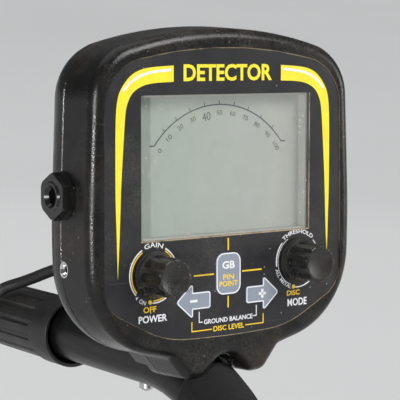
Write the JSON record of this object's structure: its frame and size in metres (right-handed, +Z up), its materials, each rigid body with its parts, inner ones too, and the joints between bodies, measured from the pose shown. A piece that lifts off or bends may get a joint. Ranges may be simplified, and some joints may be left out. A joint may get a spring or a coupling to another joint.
{
  "type": "metal detector",
  "caption": "Handheld metal detector with a control box on a bent rod, telescopic lower rod, tilting search coil and armrest.",
  "frame": {"origin": "on the ground, midway along and across the detector as it stands on its coil and armrest foot", "axes": "+Z up, +Y forward towards the search coil, +X to the user's right"},
  "size_m": [0.232, 1.3142, 0.2851],
  "materials": {
    "shell_plastic": "fine texture, dusty",
    "panel_print": "satin printed film",
    "clear_window": "clear, light scratches",
    "display_grey": "pale grey-green liquid crystal",
    "frame_plastic": "pale moulded",
    "board_green": "solder mask",
    "component_black": "moulded",
    "battery_wrap": "printed wrap",
    "pot_metal": "plated",
    "knob_plastic": "satin, dusty, worn",
    "key_plastic": "satin",
    "black_gloss": "moulded",
    "chrome_metal": "plated",
    "plug_metal": "knurled, satin",
    "black_plastic": "satin",
    "rod_aluminium": "satin black anodised",
    "rod_composite": "glass-filled tube",
    "foam": "fine closed-cell foam",
    "steel": "plated",
    "copper_wire": "enamelled",
    "lead_jacket": "round jacket",
    "tie_strap": "hook and loop"
  },
  "bodies": {
    "head": {"upper_rod": "rod_aluminium", "foam_grip": "foam", "rear_plug": "black_plastic", "front_shell": "shell_plastic", "rear_shell": "shell_plastic", "head_screws": "steel", "printed_panel": "panel_print", "display_window": "clear_window", "display_frame": "frame_plastic", "display_glass": "display_grey", "main_board": "board_green", "board_parts": "component_black", "controls": "pot_metal", "control_nuts": "pot_metal", "phone_socket": "black_gloss", "phone_nut": "black_gloss", "small_socket": "chrome_metal", "coil_socket": "chrome_metal", "coil_plug": "black_plastic", "batteries": "battery_wrap", "speaker": "pot_metal", "middle_rod": "rod_aluminium", "upper_collar": "black_plastic", "upper_collet": "black_plastic", "lower_collar": "black_plastic", "lower_collet": "black_plastic", "lead_upper": "lead_jacket", "lead_slack": "lead_jacket", "rod_tie": "tie_strap"},
    "gain": {"gain_knob": "knob_plastic", "gain_shaft": "pot_metal"},
    "threshold": {"threshold_knob": "knob_plastic", "threshold_shaft": "pot_metal"},
    "pinpoint": {"pinpoint_key": "key_plastic"},
    "minus": {"minus_key": "key_plastic"},
    "plus": {"plus_key": "key_plastic"},
    "plug_lock": {"plug_ring": "plug_metal"},
    "door": {"battery_door": "shell_plastic"},
    "upper_lock": {"upper_nut": "black_plastic"},
    "lower_lock": {"lower_nut": "black_plastic"},
    "upper_catch": {"upper_button": "steel"},
    "lower": {"lower_rod": "rod_composite", "rod_tongue": "black_plastic", "hinge_washers": "foam", "lower_tie": "tie_strap", "lead_tail": "lead_jacket"},
    "lower_catch": {"lower_button": "steel"},
    "coil": {"coil_top": "black_plastic", "coil_base": "black_plastic", "skid_plate": "black_plastic", "transmit_winding": "copper_wire", "receive_winding": "copper_wire", "coil_gland": "black_plastic", "coil_bolt": "black_plastic"},
    "thumb_nut": {"wing_nut": "black_plastic"},
    "armrest": {"armrest_cradle": "black_plastic", "armrest_pad": "foam", "armrest_block": "black_plastic", "armrest_stand": "black_plastic", "armrest_bolts": "steel"}
  },
  "joints": [
    {"name": "gain_turn", "type": "hinge", "parent": "head", "child": "gain", "pos_m": [-0.0353, -0.24722, 0.19278], "axis": [0, 0.9912, -0.1325], "range_deg": [-150, 150]},
    {"name": "threshold_turn", "type": "hinge", "parent": "head", "child": "threshold", "pos_m": [0.0353, -0.24722, 0.19278], "axis": [0, 0.9912, -0.1325], "range_deg": [-150, 150]},
    {"name": "pinpoint_press", "type": "slide", "parent": "head", "child": "pinpoint", "axis": [0, 0.9912, -0.1325], "range_m": [0, 0.0004], "stiffness_N_per_m": 900, "springref_m": -0.0003},
    {"name": "minus_press", "type": "slide", "parent": "head", "child": "minus", "axis": [0, 0.9912, -0.1325], "range_m": [0, 0.0004], "stiffness_N_per_m": 900, "springref_m": -0.0003},
    {"name": "plus_press", "type": "slide", "parent": "head", "child": "plus", "axis": [0, 0.9912, -0.1325], "range_m": [0, 0.0004], "stiffness_N_per_m": 900, "springref_m": -0.0003},
    {"name": "plug_ring_turn", "type": "hinge", "parent": "head", "child": "plug_lock", "pos_m": [0, -0.20409, 0.17581], "axis": [0, 0.9912, -0.1325], "range_deg": [0, 300]},
    {"name": "door_slide", "type": "slide", "parent": "head", "child": "door", "axis": [0, 0.1325, 0.9912], "range_m": [0, 0.024]},
    {"name": "upper_nut_turn", "type": "hinge", "parent": "head", "child": "upper_lock", "pos_m": [0, -0.10439, 0.12919], "axis": [0, 0.9912, -0.1325], "range_deg": [-180, 0]},
    {"name": "lower_nut_turn", "type": "hinge", "parent": "head", "child": "lower_lock", "pos_m": [0, 0.22865, 0.08468], "axis": [0, 0.9912, -0.1325], "range_deg": [-180, 0]},
    {"name": "upper_button_press", "type": "slide", "parent": "head", "child": "upper_catch", "axis": [0, 0.1325, 0.9912], "range_m": [0, 0.005], "stiffness_N_per_m": 900, "springref_m": -0.002},
    {"name": "lower_rod_slide", "type": "slide", "parent": "head", "child": "lower", "axis": [0, 0.9912, -0.1325], "range_m": [-0.128, 0.064], "deforming": ["lead_slack"]},
    {"name": "lower_button_press", "type": "slide", "parent": "lower", "child": "lower_catch", "axis": [0, 0.1325, 0.9912], "range_m": [0, 0.0051], "stiffness_N_per_m": 900, "springref_m": -0.002},
    {"name": "coil_tilt", "type": "hinge", "parent": "lower", "child": "coil", "pos_m": [0, 0.51808, 0.046], "axis": [1, 0, 0], "range_deg": [-12, 80], "deforming": ["lead_tail"]},
    {"name": "thumb_nut_turn", "type": "hinge", "parent": "coil", "child": "thumb_nut", "pos_m": [0, 0.51808, 0.046], "axis": [1, 0, 0], "range_deg": [0, 330]},
    {"name": "armrest_slide", "type": "slide", "parent": "head", "child": "armrest", "axis": [0, 0.9912, -0.1325], "range_m": [-0.02, 0.04]}
  ]
}
